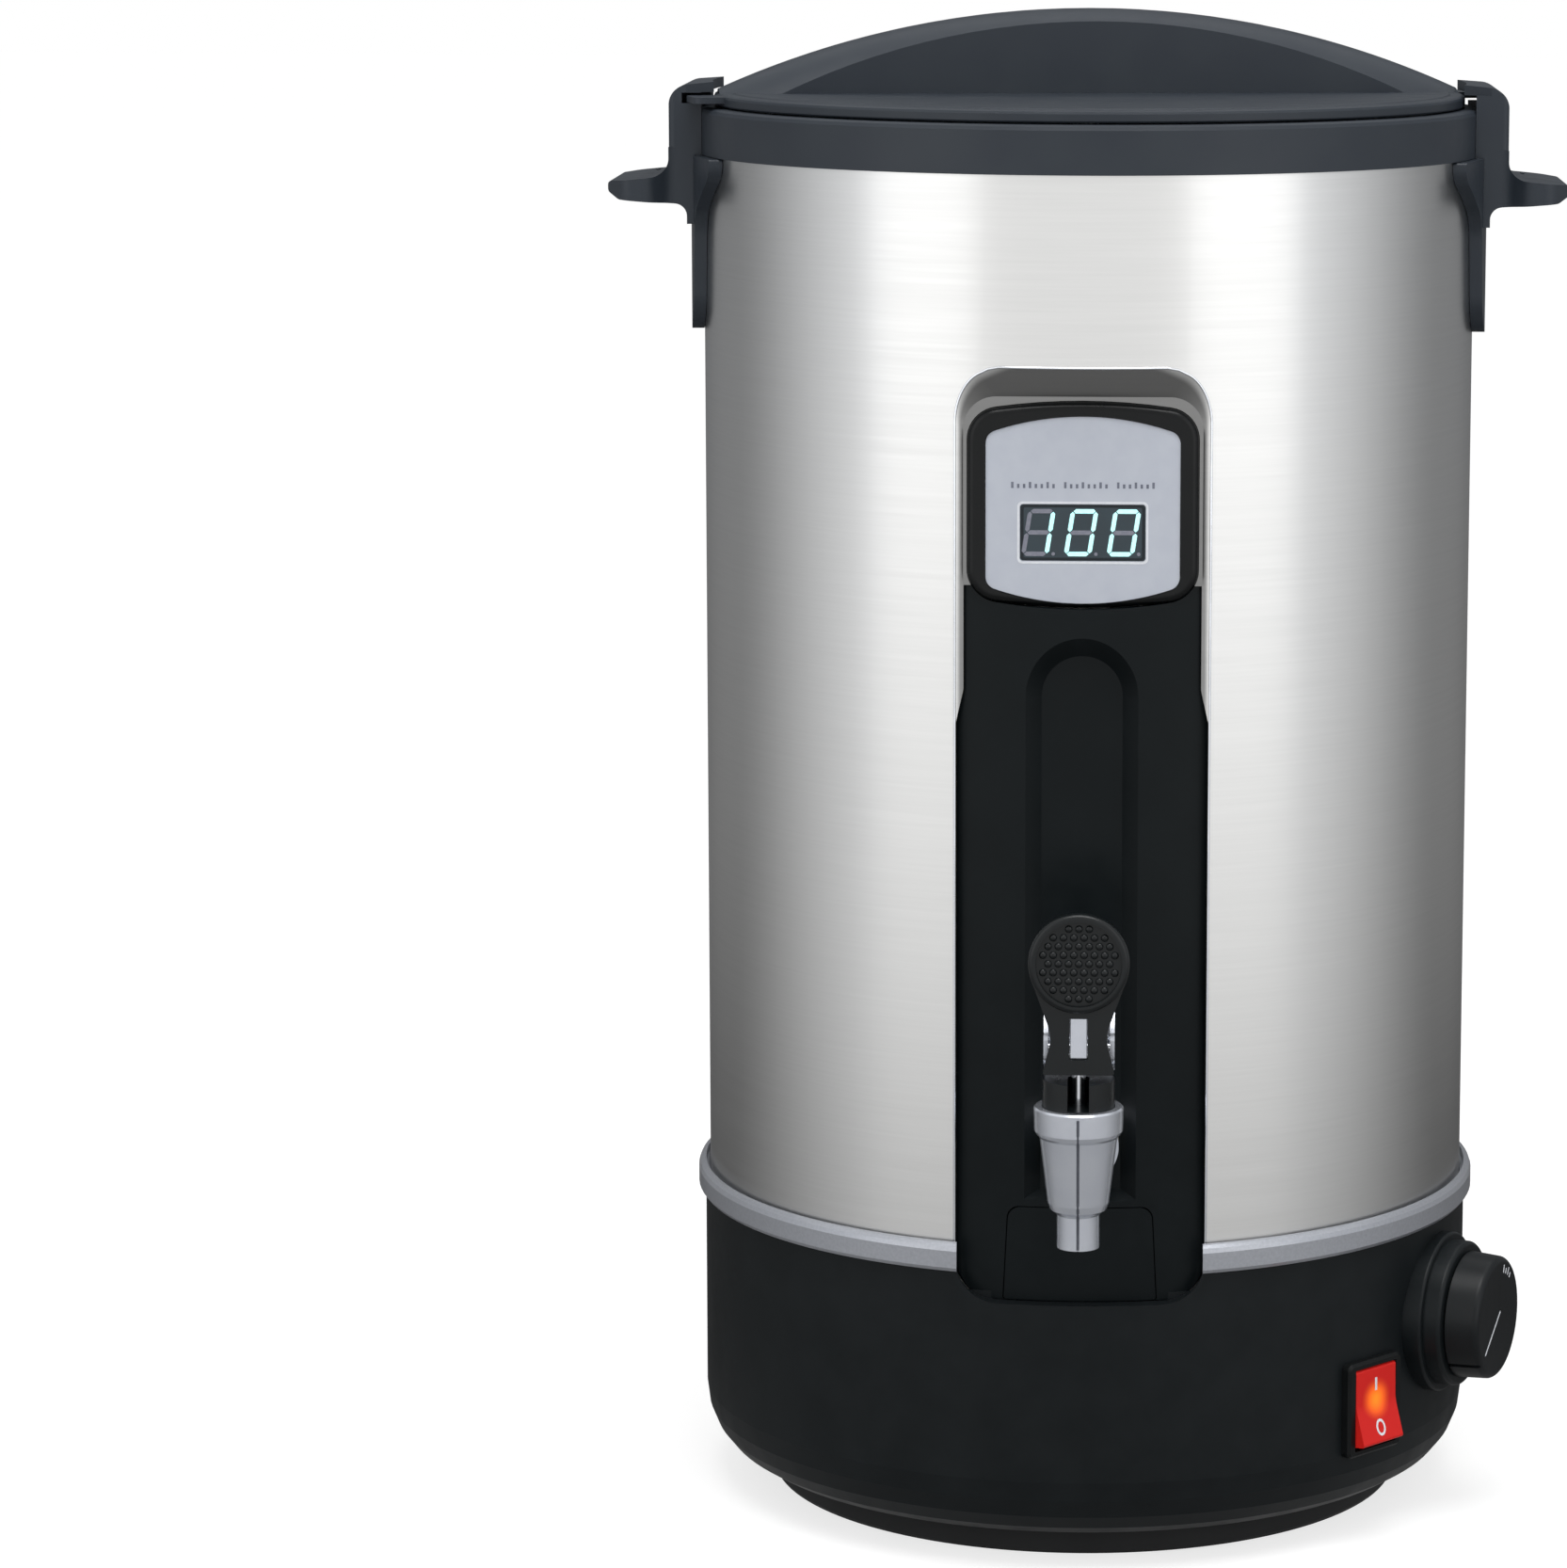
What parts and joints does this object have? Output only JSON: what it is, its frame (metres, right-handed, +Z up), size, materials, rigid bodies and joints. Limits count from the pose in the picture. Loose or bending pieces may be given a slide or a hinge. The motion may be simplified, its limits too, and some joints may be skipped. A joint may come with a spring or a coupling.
{
  "type": "candle wax melter",
  "caption": "Electric candle wax melting urn: steel tank on a black base, twist-lock lid, lever tap, temperature display, control knob and rocker switch.",
  "frame": {"origin": "on the urn's axis, in the plane it stands on", "axes": "+Z up; -Y to the front, where the tap and display are; +X to the right of someone facing the tap; the mains inlet faces +Y"},
  "size_m": [0.3096, 0.3033, 0.4857],
  "materials": {
    "steel_shell": "satin brushed stainless steel",
    "steel_pot": "brushed stainless steel",
    "rim_plastic": "fine satin moulded, dark blue grey",
    "base_plastic": "smooth semi gloss black",
    "housing_plastic": "gloss black",
    "trim_silver": "silver lacquered",
    "display_panel": "pale silver, satin printed",
    "led_lens": "smoked clear with lit digits",
    "tap_chrome": "satin chrome plated brass",
    "tap_black": "satin moulded black nylon",
    "silicone": "soft matt silicone",
    "foot_rubber": "matt black rubber",
    "rocker_red": "translucent red, lit",
    "switch_black": "satin black nylon",
    "zinc_steel": "bright zinc plated steel",
    "aluminium_cast": "as cast aluminium",
    "brass_parts": "bright brass",
    "copper_tube": "drawn copper",
    "ceramic_white": "unglazed white ceramic",
    "wool": "needled glass wool felt",
    "board_green": "glass fibre board with green lacquer",
    "wire_jacket": "silicone jacket"
  },
  "bodies": {
    "root": {"outer_shell": "steel_shell", "inner_pot": "steel_pot", "insulation_blanket": "wool", "base_shell": "base_plastic", "bottom_plate": "zinc_steel", "bottom_plate_screws": "zinc_steel", "foot_ring": "foot_rubber", "trim_ring": "trim_silver", "rim_ring": "rim_plastic", "right_handle": "rim_plastic", "left_handle": "rim_plastic", "handle_screws": "zinc_steel", "front_housing": "housing_plastic", "housing_screw_cover": "housing_plastic", "housing_screws": "zinc_steel", "display_bezel": "housing_plastic", "display_plate": "display_panel", "led_window": "led_lens", "led_module": "led_lens", "display_board": "board_green", "display_screws": "zinc_steel", "tap_body": "tap_chrome", "tap_bonnet": "tap_black", "tap_spring": "zinc_steel", "tap_lever_pin": "tap_chrome", "tap_fulcrum_bracket": "tap_chrome", "tap_washers": "silicone", "tap_locknut": "brass_parts", "heating_plate": "aluminium_cast", "element_terminals": "brass_parts", "heat_shield": "zinc_steel", "tie_bolt": "zinc_steel", "tie_nut": "zinc_steel", "thermal_cutout": "ceramic_white", "temperature_probe": "wire_jacket", "thermostat_body": "switch_black", "thermostat_bulb": "copper_tube", "knob_escutcheon": "base_plastic", "rocker_frame": "switch_black", "switch_terminals": "brass_parts", "inlet_socket": "switch_black", "inlet_pins": "brass_parts", "inlet_screws": "zinc_steel", "terminal_block": "ceramic_white", "terminal_screws": "brass_parts", "internal_wires": "wire_jacket"},
    "lid_liner": {"lid_inner_cover": "steel_pot", "lid_gasket": "silicone", "lid_stud": "zinc_steel", "lid_retaining_clip": "zinc_steel"},
    "lid": {"lid_shell": "rim_plastic"},
    "tap_lever": {"tap_lever": "tap_black"},
    "tap_stem": {"tap_stem": "tap_chrome", "tap_stem_cross_pin": "tap_chrome", "tap_seat_plug": "silicone"},
    "knob": {"control_knob": "base_plastic", "thermostat_spindle": "zinc_steel"},
    "rocker": {"rocker": "rocker_red"}
  },
  "joints": [
    {"name": "lid_lift", "type": "slide", "parent": "root", "child": "lid_liner", "axis": [0, 0, 1], "range_m": [0, 0.16]},
    {"name": "lid_turn", "type": "hinge", "parent": "lid_liner", "child": "lid", "pos_m": [0, 0, 0.456], "axis": [0, 0, 1], "range_deg": [-8, 25]},
    {"name": "tap_lever_tilt", "type": "hinge", "parent": "root", "child": "tap_lever", "pos_m": [0, -0.153, 0.176], "axis": [-1, 0, 0], "range_deg": [0, 25], "stiffness_Nm_per_rad": 0.25, "springref_deg": -11.46},
    {"name": "tap_stem_lift", "type": "slide", "parent": "root", "child": "tap_stem", "axis": [0, 0, 1], "range_m": [0, 0.003], "deforming": ["tap_spring"]},
    {"name": "knob_turn", "type": "hinge", "parent": "root", "child": "knob", "pos_m": [0, 0, 0.066], "axis": [-0.9171, 0.3987, 0], "range_deg": [0, 270]},
    {"name": "rocker_tilt", "type": "hinge", "parent": "root", "child": "rocker", "pos_m": [0.09215, -0.08593, 0.0448], "axis": [0.682, 0.7314, 0], "range_deg": [0, 18]}
  ],
  "couplings": [
    {"joint": "tap_stem_lift", "follows": "tap_lever_tilt", "m_per_rad": 0.00687}
  ]
}
